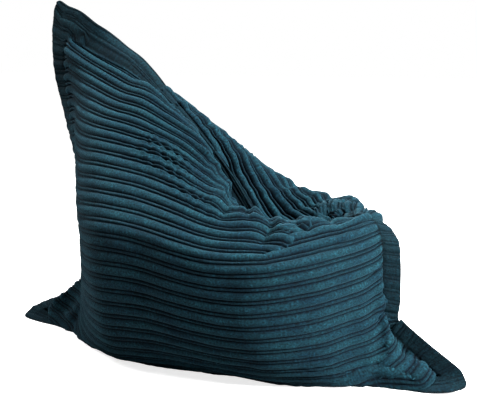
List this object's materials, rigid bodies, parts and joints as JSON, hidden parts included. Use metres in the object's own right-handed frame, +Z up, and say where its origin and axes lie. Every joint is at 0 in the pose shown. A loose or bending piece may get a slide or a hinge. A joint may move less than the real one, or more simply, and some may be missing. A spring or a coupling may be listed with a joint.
{
  "type": "bean bag chair",
  "caption": "Giant bean bag chair: a flanged corduroy floor pillow stood on its long edge, with a high back, a pushed-in seat, an inner bead bag and zips.",
  "frame": {"origin": "on the ground, under the middle of the whole bag's box", "axes": "+X to the front of the seat, +Y to the sitter's left, +Z up; the two cover panels meet in the plane y = 0"},
  "size_m": [1.8, 0.8732, 1.244],
  "materials": {
    "corduroy": "plush wide and narrow wale corduroy, dark teal",
    "liner_cloth": "thin woven polyester, off-white",
    "beads": "expanded polystyrene beads, white",
    "cover_zip_tape": "woven zip tape, dark teal",
    "liner_zip_tape": "woven zip tape, off-white",
    "zip_coil": "nylon coil",
    "zip_metal": "painted zinc"
  },
  "bodies": {
    "bag": {"cover_panel_right": "corduroy", "cover_panel_left": "corduroy", "liner_panel_right": "liner_cloth", "liner_panel_left": "liner_cloth", "bead_fill": "beads", "cover_zip_tape_right": "cover_zip_tape", "cover_zip_tape_left": "cover_zip_tape", "cover_zip_coil_right": "zip_coil", "cover_zip_coil_left": "zip_coil", "cover_zip_stops": "zip_metal", "liner_zip_tape_right": "liner_zip_tape", "liner_zip_tape_left": "liner_zip_tape", "liner_zip_coil_right": "zip_coil", "liner_zip_coil_left": "zip_coil", "liner_zip_stops": "zip_metal"},
    "cover_slider": {"cover_zip_slider": "zip_metal"},
    "liner_slider": {"liner_zip_slider": "zip_metal"}
  },
  "joints": [
    {"name": "cover_zip_slide", "type": "slide", "parent": "bag", "child": "cover_slider", "axis": [1, 0, 0], "range_m": [-0.85, 0]},
    {"name": "liner_zip_slide", "type": "slide", "parent": "bag", "child": "liner_slider", "axis": [1, 0, 0], "range_m": [-0.85, 0]}
  ]
}
